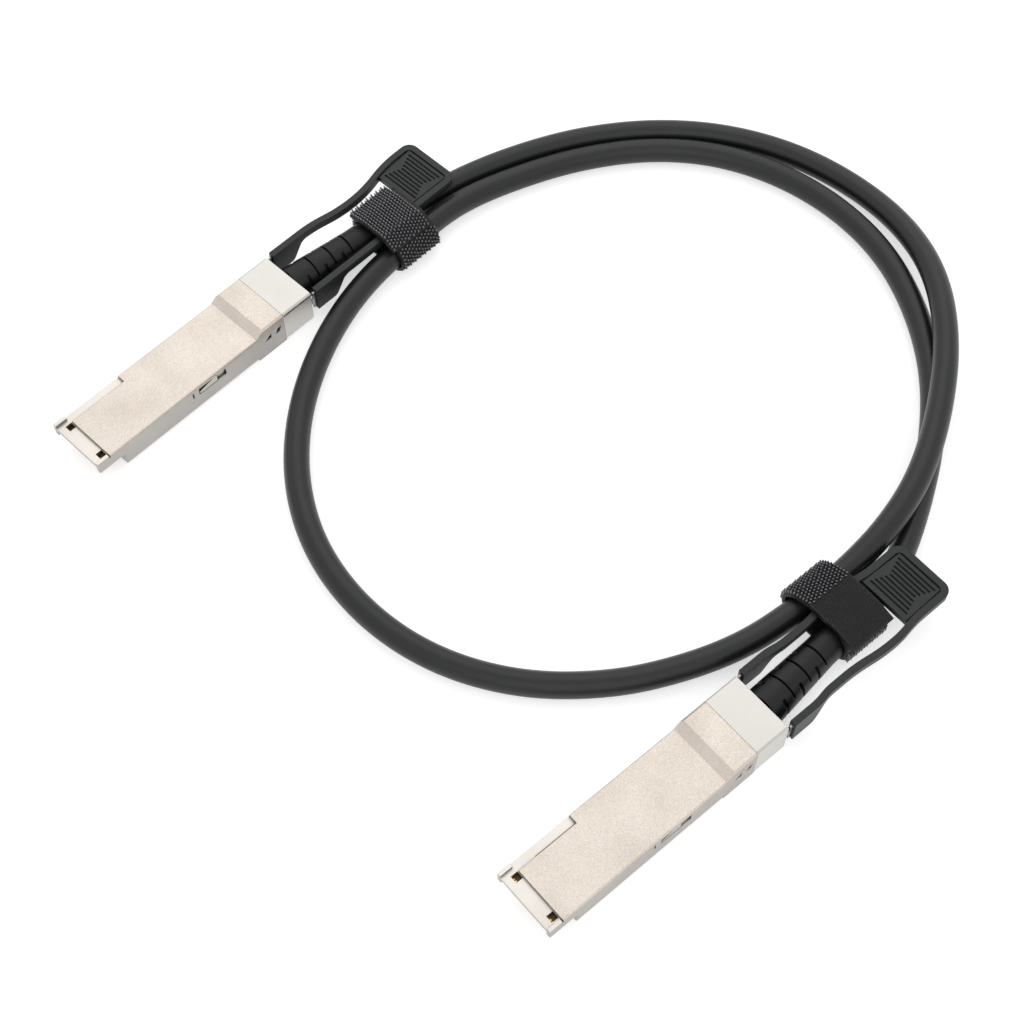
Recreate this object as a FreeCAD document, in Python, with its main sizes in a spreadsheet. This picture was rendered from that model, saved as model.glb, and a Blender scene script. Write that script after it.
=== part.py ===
import FreeCAD, Part
import Sketcher
import math
import os

# Passive copper direct attach cable: two identical pluggable ends joined by one round cable.
# Frame: the origin is the middle of plug A's collar underside, +X runs from plug A's nose to its
# cable, +Y is plug A's left side and +Z is up. Everything lies on the floor z = 0.
# Plug-local frames have the same meaning for each plug. All lengths are in millimetres.

doc = FreeCAD.newDocument("direct_attach_cable")
vector = FreeCAD.Vector

sizes = [
    # plug outline
    ("width", 18.35), ("nose_length", 55.3), ("block_length", 20.2), ("collar_length", 10.3),
    ("nose_height", 8.5), ("underside_drop", 0.6), ("roof_rise", 2.0), ("ramp_length", 2.55),
    ("cover_thickness", 0.9), ("edge_round", 0.5), ("roof_chamfer", 0.6),
    # lower shell
    ("lip_length", 8.3), ("lip_plate", 1.2), ("lip_wall", 3.0), ("lip_side_wall", 1.2),
    ("rib_length", 3.7), ("rib_width", 1.0), ("window_size", 2.0), ("window_setback", 3.0),
    ("window_left", 5.8), ("window_right", 6.55), ("tub_floor", 1.0), ("front_wall", 1.2),
    ("cavity_half", 6.9), ("tongue_half", 7.85), ("tongue_setback", 2.7), ("cradle_length", 4.0),
    # cover outline
    ("cover_setback", 4.15), ("key_inset", 2.5), ("key_length", 21.9), ("tongue_plate", 0.55),
    ("cover_tongue_half", 7.4), ("tongue_lap", 1.6),
    # collar
    ("sheet_wall", 0.5), ("collar_round", 0.8), ("slit_width", 0.5), ("slit_setback", 0.3),
    ("collar_gap", 0.06),
    # latch slider
    ("arm_sheet", 0.5), ("arm_plane", 8.3), ("arm_height", 2.2), ("arm_bottom", 5.5),
    ("slide_gap", 0.12), ("tip_place", 32.2), ("tip_height", 2.0),
    ("tip_width", 0.45), ("pocket_front", 34.4),
    ("pocket_end", 44.0), ("leaf_gap", 0.3), ("leaf_setback", 0.1), ("leaf_jog", 0.7),
    ("wedge_length", 5.2), ("wedge_depth", 1.3), ("bar_setback", 4.7), ("bar_top", 9.6),
    ("jog_start", 0.25), ("jog_length", 0.6), ("foot_plane", 8.8), ("blade_low", 3.8),
    ("blade_high", 10.0), ("travel", 2.5), ("end_gap", 0.4), ("port_height", 1.8),
    ("port_length", 2.4), ("port_pitch", 3.9), ("port_setback", 2.7),
    # pull tab
    ("foot_gap", 1.8), ("foot_length", 7.0), ("foot_taper", 3.6), ("foot_bottom", 3.0),
    ("foot_round", 2.0), ("neck_round", 3.0), ("loop_bottom", 8.4), ("loop_top", 10.8),
    ("loop_band", 1.9), ("waist_place", 16.0), ("waist_half", 8.1), ("waist_length", 4.0),
    ("swell_place", 36.0), ("swell_half", 9.3), ("side_place", 47.5), ("side_half", 8.3),
    ("sway_place", 30.0), ("sway_half", 6.95), ("sway_side", 9.95), ("sway_end", 52.0),
    ("press_place", 22.5), ("press_side", 7.35), ("press_end", 46.0),
    ("grip_place", 42.3), ("grip_length", 15.3), ("grip_round", 3.0), ("grip_inner_round", 1.4),
    ("plate_bottom", 8.8), ("plate_top", 10.6), ("rim_groove", 0.4), ("rim_depth", 0.4),
    ("groove_depth", 0.45), ("groove_width", 0.55), ("groove_pitch", 1.25), ("groove_setback", 1.7),
    ("groove_long", 6.2), ("groove_short", 4.25), ("mould_gap", 0.02),
    # card and wiring
    ("card_thickness", 1.0), ("card_half", 7.6), ("card_setback", 0.8), ("card_length", 49.0),
    ("card_gap", 0.1), ("pad_pitch", 0.8), ("pad_width", 0.5), ("pad_length", 1.6),
    ("pad_thickness", 0.04), ("joint_length", 5.5), ("joint_height", 1.2), ("pair_diameter", 1.3),
    ("pair_spread", 3.6), ("pair_gather", 1.6), ("ferrule_wall", 0.75), ("ferrule_length", 6.0),
    ("ferrule_place", 9.0), ("seat_gap", 0.05),
    # springs
    ("spring_outer", 2.0), ("spring_wire", 0.3), ("spring_turns", 9.0), ("spring_plane", 5.5),
    # strain relief
    ("boot_root", 11.0), ("boot_end", 8.9), ("boot_length", 29.5), ("boot_gap", 0.5),
    ("boot_taper", 22.5), ("neck_diameter", 8.5), ("neck_gap", 0.25), ("flange_length", 1.0),
    ("flange_gap", 0.5), ("flange_diameter", 9.6), ("ring_first", 7.6), ("ring_pitch", 6.2),
    ("ring_width", 0.6), ("ring_depth", 0.9), ("ring_span", 120.0), ("notch_width", 1.0),
    ("notch_span", 110.0), ("end_round", 0.6),
    # cable and straps
    ("cable_diameter", 6.9), ("cable_inlet", 11.5), ("wrap_thickness", 0.9), ("wrap_width", 14.0),
    ("wrap_gap", 0.3), ("wrap_round", 1.2), ("wrap_front", 31.8), ("strand_room", 0.4),
    ("boot_swing", 2.3), ("strand_side_a", 11.9), ("strand_side_b", 13.8),
    ("strand_height_a", 4.7), ("strand_height_b", 5.1),
    # plug B in plug A's frame
    ("plug_shift", -8.78), ("plug_reach", -176.7), ("plug_turn", -5.53), ("boot_turn", 4.5),
]

dims = doc.addObject("Spreadsheet::Sheet", "Dims")
for row, (alias, number) in enumerate(sizes, start=1):
    dims.set(f"A{row}", alias)
    dims.set(f"B{row}", str(number))
    dims.setAlias(f"B{row}", alias)
doc.recompute()


gauge = doc.addObject("App::FeaturePython", "Gauge")
gauge.addProperty("App::PropertyFloat", "Reading")


def value(expression):
    """Number that an expression on the sheet gives now."""
    gauge.setExpression("Reading", expression)
    gauge.recompute()
    return gauge.Reading


# places along a plug, from the collar's middle
rear = "(Dims.collar_length / 2)"
collarFront = "(-Dims.collar_length / 2)"
shoulder = "(Dims.collar_length / 2 - Dims.block_length)"
nose = "(Dims.collar_length / 2 - Dims.block_length - Dims.nose_length)"
half = "(Dims.width / 2)"
# heights
cageTop = "(Dims.underside_drop + Dims.nose_height)"
roof = "(Dims.underside_drop + Dims.nose_height + Dims.roof_rise)"
seam = "(Dims.underside_drop + Dims.nose_height - Dims.cover_thickness)"
axis = "((Dims.underside_drop + Dims.nose_height + Dims.roof_rise) / 2)"
# latch channel: between the cavity wall and the outer skin
channelIn = "(Dims.arm_plane - Dims.arm_sheet / 2 - Dims.slide_gap)"
channelOut = "(Dims.arm_plane + Dims.arm_sheet / 2 + Dims.slide_gap)"
channelLow = "(Dims.arm_bottom - Dims.slide_gap)"
channelHigh = "(Dims.arm_bottom + Dims.arm_height + Dims.slide_gap)"
cardLow = "(Dims.underside_drop + Dims.nose_height - Dims.cover_thickness - Dims.lip_wall + 0.2)"
barFront = f"({shoulder} + Dims.bar_setback)"
tabFront = f"({rear} + Dims.foot_gap)"


def plane(body, role):
    return [item for item in body.Origin.OriginFeatures if item.Role == role][0]


def setSketch(body, name, role, offset):
    sketch = body.newObject("Sketcher::SketchObject", name)
    sketch.AttachmentSupport = [(plane(body, role), "")]
    sketch.MapMode = "FlatFace"
    sketch.setExpression(".AttachmentOffset.Base.z", offset)
    return sketch


def polygonSketch(body, name, role, offset, corners):
    """Closed outline whose every corner is bound to the sheet."""
    sketch = setSketch(body, name, role, offset)
    spots = [vector(value(across), value(up), 0) for across, up in corners]
    count = len(spots)
    for index in range(count):
        sketch.addGeometry(Part.LineSegment(spots[index], spots[(index + 1) % count]), False)
    for index in range(count):
        sketch.addConstraint(Sketcher.Constraint("Coincident", index, 2, (index + 1) % count, 1))
    for index, (across, up) in enumerate(corners):
        for kind, amount, number in (("DistanceX", across, spots[index].x),
                                     ("DistanceY", up, spots[index].y)):
            place = sketch.addConstraint(Sketcher.Constraint(kind, -1, 1, index, 1, number))
            sketch.setExpression(f"Constraints[{place}]", amount)
    return sketch


def circleSketch(body, name, role, offset, across, up, radii):
    """Circles about one centre, bound to the sheet."""
    sketch = setSketch(body, name, role, offset)
    for radius in radii:
        centre = vector(value(across), value(up), 0)
        ring = sketch.addGeometry(Part.Circle(centre, vector(0, 0, 1), value(radius)), False)
        for kind, amount in (("DistanceX", across), ("DistanceY", up)):
            place = sketch.addConstraint(
                Sketcher.Constraint(kind, -1, 1, ring, 3, value(amount)))
            sketch.setExpression(f"Constraints[{place}]", amount)
        place = sketch.addConstraint(Sketcher.Constraint("Radius", ring, value(radius)))
        sketch.setExpression(f"Constraints[{place}]", radius)
    return sketch


def extrude(body, kind, sketch, length, back=False, middle=False):
    """Pad or pocket whose effect is checked by volume."""
    doc.recompute()
    before = body.Shape.Volume if body.Shape and not body.Shape.isNull() else 0.0
    feature = body.newObject(f"PartDesign::{kind}", f"{kind}_{sketch.Name}")
    feature.Profile = sketch
    feature.setExpression("Length", length)
    feature.Reversed = back
    if middle:
        feature.SideType = "Symmetric"
    sketch.Visibility = False
    doc.recompute()
    change = body.Shape.Volume - before
    if (kind == "Pad" and change < 1e-3) or (kind == "Pocket" and change > -1e-3):
        raise ValueError(f"{body.Label}: {sketch.Label} changed the volume by {change:.3f}")
    return feature


def blockUp(body, kind, name, front, back, right, left, low, high):
    """Straight block between two heights, added or cut."""
    corners = [(front, right), (back, right), (back, left), (front, left)]
    sketch = polygonSketch(body, name, "XY_Plane", low, corners)
    return extrude(body, kind, sketch, f"{high} - {low}", back=(kind == "Pocket"))


def roundEdges(body, kind, size, chosen):
    """Fillet or chamfer on the edges of the tip that the rule picks."""
    doc.recompute()
    tip = body.Tip
    names = [f"Edge{number + 1}" for number, edge in enumerate(tip.Shape.Edges) if chosen(edge)]
    if not names:
        raise ValueError(f"{body.Label}: no edge found to shape")
    feature = body.newObject(f"PartDesign::{kind}", f"{kind}_{body.Name}")
    feature.Base = (tip, names)
    feature.setExpression("Radius" if kind == "Fillet" else "Size", size)
    doc.recompute()
    return feature


def turnAbout(body, kind, sketch, span):
    """Revolution or groove about the body's X axis, half to each side, checked by volume."""
    doc.recompute()
    before = body.Shape.Volume if body.Shape and not body.Shape.isNull() else 0.0
    feature = body.newObject(f"PartDesign::{kind}", f"{kind}_{sketch.Name}")
    feature.Profile = sketch
    feature.ReferenceAxis = (sketch, ["H_Axis"])
    feature.Midplane = True
    feature.setExpression("Angle", span)
    sketch.Visibility = False
    doc.recompute()
    change = body.Shape.Volume - before
    if (kind == "Revolution" and change < 1e-3) or (kind == "Groove" and change > -1e-3):
        raise ValueError(f"{body.Label}: {sketch.Label} changed the volume by {change:.3f}")
    return feature


def runsAlongX(edge, low, high, leastLength):
    """True for a straight edge along X inside a height band."""
    box = edge.BoundBox
    straight = box.YLength < 1e-4 and box.ZLength < 1e-4
    return straight and box.XLength > leastLength and low - 1e-3 < box.ZMin < high + 1e-3


nodes = []


def keep(item, label, placement):
    item.Label = label
    item.Placement = placement
    nodes.append(item)
    return item


def newBody(label):
    body = doc.addObject("PartDesign::Body", label)
    body.Label = label
    return body


def lowerShell(tag, placement):
    """Die-cast lower half: nose lip, tub, rear block and the tongue inside the collar."""
    body = newBody(f"lower_shell_{tag}")
    out = f"-{half}"
    drop = "Dims.underside_drop"
    tubFront = f"({nose} + Dims.lip_length)"
    blockUp(body, "Pad", "tub", tubFront, shoulder, out, half, drop, seam)
    blockUp(body, "Pad", "rear_block", shoulder, collarFront, out, half, "0", seam)
    lipLow = f"({seam} - Dims.lip_wall)"
    blockUp(body, "Pad", "lip", nose, tubFront, out, half, lipLow, seam)
    tongueEnd = f"({rear} - Dims.tongue_setback)"
    blockUp(body, "Pad", "tongue", collarFront, tongueEnd, "-Dims.tongue_half",
            "Dims.tongue_half", "(Dims.sheet_wall + Dims.collar_gap)", seam)
    low = value(drop)
    roundEdges(body, "Fillet", "Dims.edge_round",
               lambda edge: runsAlongX(edge, low, low, value("Dims.lip_length"))
               and abs(edge.BoundBox.YMin) > value(half) - 1e-3)
    floor = f"({drop} + Dims.tub_floor)"
    blockUp(body, "Pocket", "cavity", f"({tubFront} + Dims.front_wall)", f"({tongueEnd} + 1)",
            "-Dims.cavity_half", "Dims.cavity_half", floor, f"({seam} + 1)")
    blockUp(body, "Pocket", "lip_hollow", f"({nose} - 1)", tubFront,
            f"-({half} - Dims.lip_side_wall)", f"({half} - Dims.lip_side_wall)",
            f"({lipLow} - 1)", f"({seam} - Dims.lip_plate)")
    blockUp(body, "Pocket", "card_slot", f"({tubFront} - 1)", f"({tubFront} + Dims.front_wall + 1)",
            "-(Dims.card_half + Dims.card_gap)", "(Dims.card_half + Dims.card_gap)",
            f"({cardLow} - Dims.card_gap)", f"({cardLow} + Dims.card_thickness + Dims.card_gap)")
    for side, across in (("left", "Dims.window_left"), ("right", "-Dims.window_right")):
        blockUp(body, "Pocket", f"card_window_{side}",
                f"({nose} + Dims.window_setback - Dims.window_size / 2)",
                f"({nose} + Dims.window_setback + Dims.window_size / 2)",
                f"({across} - Dims.window_size / 2)", f"({across} + Dims.window_size / 2)",
                f"({seam} - Dims.lip_plate - 1)", f"({seam} + 1)")
    for side, sign in (("left", ""), ("right", "-")):
        near = f"{sign}({half} - Dims.rib_width)"
        blockUp(body, "Pad", f"lip_rib_{side}", nose, f"({nose} + Dims.rib_length)",
                near, f"{sign}{half}", seam, cageTop)
        armMiddle = "(Dims.arm_bottom + Dims.arm_height / 2)"
        blockUp(body, "Pocket", f"tip_slit_{side}", f"({nose} + Dims.tip_place)",
                f"({nose} + Dims.tip_place + Dims.tip_width)", f"{sign}({half} - Dims.tip_width)",
                f"{sign}({half} + 1)", f"({armMiddle} - Dims.tip_height / 2)",
                f"({armMiddle} + Dims.tip_height / 2)")
        blockUp(body, "Pocket", f"latch_pocket_{side}", f"({nose} + Dims.pocket_front)",
                f"({nose} + Dims.pocket_end)", f"{sign}{channelIn}", f"{sign}({half} + 1)",
                channelLow, channelHigh)
        blockUp(body, "Pocket", f"latch_channel_{side}", f"({nose} + Dims.pocket_end - 1)",
                f"({collarFront} + 0.01)", f"{sign}{channelIn}", f"{sign}{channelOut}",
                channelLow, channelHigh)
        blockUp(body, "Pocket", f"bar_notch_{side}", f"({barFront} - Dims.end_gap)",
                f"({barFront} + Dims.arm_sheet + Dims.travel + Dims.end_gap)",
                f"{sign}(Dims.cavity_half - 0.01)", f"{sign}{channelOut}",
                f"({channelHigh} - Dims.slide_gap - 0.4)", f"({seam} + 1)")
        sidePorts(body, side, sign)
    blockUp(body, "Pad", "cradle", f"({rear} - Dims.ferrule_place + 1)",
            f"({rear} - Dims.ferrule_place + 1 + Dims.cradle_length)",
            "-(Dims.cavity_half + 0.3)", "(Dims.cavity_half + 0.3)",
            f"({floor} - 0.2)", axis)
    bore = circleSketch(body, "cradle_bore", "YZ_Plane", f"({rear} - Dims.ferrule_place)", "0",
                        axis, ["Dims.cable_diameter / 2 + Dims.ferrule_wall + Dims.seat_gap"])
    extrude(body, "Pocket", bore, "Dims.cradle_length + 2", back=True)
    return keep(body, f"lower_shell_{tag}", placement)


def sidePorts(body, side, sign):
    """One triangular and one slanted port through the skin over the latch arm."""
    front = f"({shoulder} + Dims.port_setback)"
    low = f"(Dims.arm_bottom + Dims.arm_height / 2 - Dims.port_height / 2)"
    high = f"(Dims.arm_bottom + Dims.arm_height / 2 + Dims.port_height / 2)"
    triangle = [(front, low), (f"({front} + Dims.port_length)", low),
                (f"({front} + Dims.port_length)", high)]
    second = f"({front} + Dims.port_pitch)"
    slanted = [(second, low), (f"({second} + Dims.port_length * 0.6)", low),
               (f"({second} + Dims.port_length)", high), (f"({second} + Dims.port_length * 0.4)", high)]
    for name, corners in (("triangle", triangle), ("slanted", slanted)):
        offset = f"-{half}" if sign == "" else half
        sketch = polygonSketch(body, f"port_{name}_{side}", "XZ_Plane", offset, corners)
        extrude(body, "Pocket", sketch, f"{half} - {channelOut} + 0.05", back=(sign == ""))


def topCover(tag, placement):
    """Die-cast cover: keyed in-cage plate, ramp, raised roof and the tongue under the collar."""
    body = newBody(f"top_cover_{tag}")
    front = f"({nose} + Dims.cover_setback)"
    step = f"({nose} + Dims.key_length)"
    keyed = f"({half} - Dims.key_inset)"
    plan = [(front, f"-{half}"), (shoulder, f"-{half}"), (shoulder, half), (step, half),
            (step, keyed), (front, keyed)]
    extrude(body, "Pad", polygonSketch(body, "plate", "XY_Plane", seam, plan),
            "Dims.cover_thickness")
    roundEdges(body, "Fillet", "Dims.edge_round",
               lambda edge: runsAlongX(edge, value(cageTop), value(cageTop), 1))
    ramp = f"({shoulder} + Dims.ramp_length)"
    profile = [(shoulder, seam), (collarFront, seam), (collarFront, roof), (ramp, roof),
               (shoulder, cageTop)]
    extrude(body, "Pad", polygonSketch(body, "hood", "XZ_Plane", "0", profile), "Dims.width",
            middle=True)
    roundEdges(body, "Chamfer", "Dims.roof_chamfer",
               lambda edge: runsAlongX(edge, value(roof), value(roof), 1))
    inside = f"({ramp} - 0.3)"
    blockUp(body, "Pocket", "hood_hollow", inside, f"({collarFront} + 1)", f"-{channelOut}",
            channelOut, f"({seam} - 1)", f"({roof} - Dims.cover_thickness)")
    tongueHigh = f"({roof} - Dims.sheet_wall - Dims.collar_gap)"
    blockUp(body, "Pad", "cover_tongue", f"({collarFront} - Dims.tongue_lap)",
            f"({rear} - Dims.tongue_setback)", "-Dims.cover_tongue_half",
            "Dims.cover_tongue_half", f"({tongueHigh} - Dims.tongue_plate)", tongueHigh)
    return keep(body, f"top_cover_{tag}", placement)


def rearCollar(tag, placement, slitUp):
    """Folded sheet sleeve over the rear of the shells, with its seam slit beside one fold."""
    body = newBody(f"rear_collar_{tag}")
    front = f"({collarFront} + Dims.collar_gap)"
    blockUp(body, "Pad", "sleeve", front, rear, f"-{half}", half, "0", roof)
    roundEdges(body, "Fillet", "Dims.collar_round", lambda edge: runsAlongX(edge, 0, value(roof), 1))
    wall = "Dims.sheet_wall"
    blockUp(body, "Pocket", "inside", f"({front} - 1)", f"({rear} - {wall})",
            f"-({half} - {wall})", f"({half} - {wall})", wall, f"({roof} - {wall})")
    hole = circleSketch(body, "cable_hole", "YZ_Plane", f"({rear} + 1)", "0", axis,
                        ["Dims.neck_diameter / 2 + Dims.neck_gap"])
    extrude(body, "Pocket", hole, f"{wall} + 1.5")
    for side, sign in (("left", ""), ("right", "-")):
        blockUp(body, "Pocket", f"arm_slot_{side}", f"({rear} - 1)", f"({rear} + 1)",
                f"{sign}{channelIn}", f"{sign}{channelOut}", channelLow, channelHigh)
    slitFront = f"({front} + Dims.slit_setback)"
    slitRear = f"({rear} - {wall})"
    skin = f"({half} - {wall} - 0.1)"
    if slitUp:
        slitHigh = f"({roof} - Dims.collar_round)"
        blockUp(body, "Pocket", "slit", slitFront, slitRear, f"-({half} + 1)", f"-{skin}",
                f"({slitHigh} - Dims.slit_width)", slitHigh)
    else:
        slitHigh = "(Dims.collar_round + Dims.slit_width)"
        blockUp(body, "Pocket", "slit", slitFront, slitRear, skin, f"({half} + 1)",
                "Dims.collar_round", slitHigh)
    return keep(body, f"rear_collar_{tag}", placement)


def latchSlider(tag, placement):
    """Stamped spring-steel slider: two side arms with cams, a cross bar and two rear tabs."""
    body = newBody(f"latch_slider_{tag}")
    low = "Dims.arm_bottom"
    high = "(Dims.arm_bottom + Dims.arm_height)"
    blockUp(body, "Pad", "cross_bar", barFront, f"({barFront} + Dims.arm_sheet)",
            "-(Dims.arm_plane + Dims.arm_sheet / 2)", "(Dims.arm_plane + Dims.arm_sheet / 2)",
            f"({high} - 0.3)", "Dims.bar_top")
    leafFront = f"({nose} + Dims.pocket_front + Dims.leaf_gap)"
    leafEnd = f"({nose} + Dims.pocket_end - Dims.travel - Dims.leaf_jog)"
    jog = f"({rear} + Dims.jog_start)"
    jogEnd = f"({jog} + Dims.jog_length)"
    bladeEnd = f"({tabFront} + Dims.foot_length - 1)"
    for side, sign in (("left", ""), ("right", "-")):
        inner = "(Dims.arm_plane - Dims.arm_sheet / 2)"
        outer = "(Dims.arm_plane + Dims.arm_sheet / 2)"
        outerLeaf = f"({half} - Dims.leaf_setback)"
        innerLeaf = f"({outerLeaf} - Dims.arm_sheet)"
        innerFoot = "(Dims.foot_plane - Dims.arm_sheet / 2)"
        outerFoot = "(Dims.foot_plane + Dims.arm_sheet / 2)"
        line = [(leafFront, innerLeaf), (leafEnd, innerLeaf), (f"({leafEnd} + Dims.leaf_jog)", inner),
                (jog, inner), (jogEnd, innerFoot), (bladeEnd, innerFoot), (bladeEnd, outerFoot),
                (jogEnd, outerFoot), (jog, outer), (f"({leafEnd} + Dims.leaf_jog)", outer),
                (leafEnd, outerLeaf), (leafFront, outerLeaf)]
        corners = [(along, f"{sign}{across}") for along, across in line]
        sketch = polygonSketch(body, f"arm_{side}", "XY_Plane", low, corners)
        extrude(body, "Pad", sketch, "Dims.arm_height")
        wedge = [(f"({leafFront} - 1)", f"({high} - Dims.wedge_depth)"),
                 (leafFront, f"({high} - Dims.wedge_depth)"),
                 (f"({leafFront} + Dims.wedge_length)", high),
                 (f"({leafFront} + Dims.wedge_length)", f"({high} + 1)"),
                 (f"({leafFront} - 1)", f"({high} + 1)")]
        offset = f"-{half}" if sign == "" else half
        extrude(body, "Pocket", polygonSketch(body, f"wedge_{side}", "XZ_Plane", offset, wedge),
                "2 * Dims.arm_sheet + Dims.leaf_setback", back=(sign == ""))
        blockUp(body, "Pad", f"blade_{side}", jogEnd, bladeEnd, f"{sign}{innerFoot}",
                f"{sign}{outerFoot}", "Dims.blade_low", "Dims.blade_high")
    return keep(body, f"latch_slider_{tag}", placement)


def loopSketch(body, name, role, offset, edges):
    """Closed outline of lines and arcs; an edge is its start, its radius or None, and its side."""
    sketch = setSketch(body, name, role, offset)
    spots = [vector(value(across), value(up), 0) for (across, up), radius, side in edges]
    ends = []
    for index, (corner, radius, side) in enumerate(edges):
        start = spots[index]
        stop = spots[(index + 1) % len(spots)]
        if radius is None:
            sketch.addGeometry(Part.LineSegment(start, stop), False)
        else:
            chord = stop - start
            middle = (start + stop) / 2
            size = value(radius)
            rise = size - math.sqrt(size ** 2 - chord.Length ** 2 / 4)
            normal = vector(-chord.y, chord.x, 0).normalize()
            crown = middle + normal * rise * side
            first, last = (stop, start) if side > 0 else (start, stop)
            sketch.addGeometry(Part.Arc(first, crown, last), False)
        ends.append((2, 1) if side > 0 else (1, 2))
    for index, (corner, radius, side) in enumerate(edges):
        after = (index + 1) % len(edges)
        sketch.addConstraint(
            Sketcher.Constraint("Coincident", index, ends[index][1], after, ends[after][0]))
    for index, ((across, up), radius, side) in enumerate(edges):
        bound = [("DistanceX", across, spots[index].x), ("DistanceY", up, spots[index].y)]
        for kind, amount, number in bound:
            place = sketch.addConstraint(
                Sketcher.Constraint(kind, -1, 1, index, ends[index][0], number))
            sketch.setExpression(f"Constraints[{place}]", amount)
        if radius is not None:
            place = sketch.addConstraint(Sketcher.Constraint("Radius", index, value(radius)))
            sketch.setExpression(f"Constraints[{place}]", radius)
    return sketch


def swayLine(stations, sign, shift):
    """Edges of an arm's side: tangent arc pairs between places where it runs along X."""
    edges = []
    for (place, across), (nextPlace, nextAcross) in zip(stations, stations[1:]):
        start = (place, f"({sign}{across} + {shift})")
        length = f"({nextPlace} - {place})"
        step = f"({nextAcross} - {across})"
        climb = value(step) if sign == "" else -value(step)
        if abs(climb) < 1e-3:
            edges.append((start, None, 0))
            continue
        radius = f"(({length} ^ 2 + {step} ^ 2) / (4 * abs({step})))"
        middle = (f"(({nextPlace} + {place}) / 2)",
                  f"({sign}({nextAcross} + {across}) / 2 + {shift})")
        turn = -1 if climb > 0 else 1
        edges.append((start, radius, turn))
        edges.append((middle, radius, -turn))
    last = (stations[-1][0], f"({sign}{stations[-1][1]} + {shift})")
    return edges, last


def backwards(edges, last):
    """The same edges walked from their end."""
    starts = [start for start, radius, side in edges] + [last]
    turned = []
    for index in range(len(edges) - 1, -1, -1):
        start, radius, side = edges[index]
        turned.append((starts[index + 1], radius, -side))
    return turned, starts[0]


def sideAt(stations, place):
    """Half width of an arm's centre line at a place past its last curve's middle."""
    (start, across), (end, endAcross) = stations[-2:]
    step = f"({endAcross} - {across})"
    radius = f"((({end} - {start}) ^ 2 + {step} ^ 2) / (4 * abs({step})))"
    drop = f"({radius} - sqrt({radius} ^ 2 - ({end} - {place}) ^ 2))"
    return f"({endAcross} - {step} / abs({step}) * {drop})"


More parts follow.
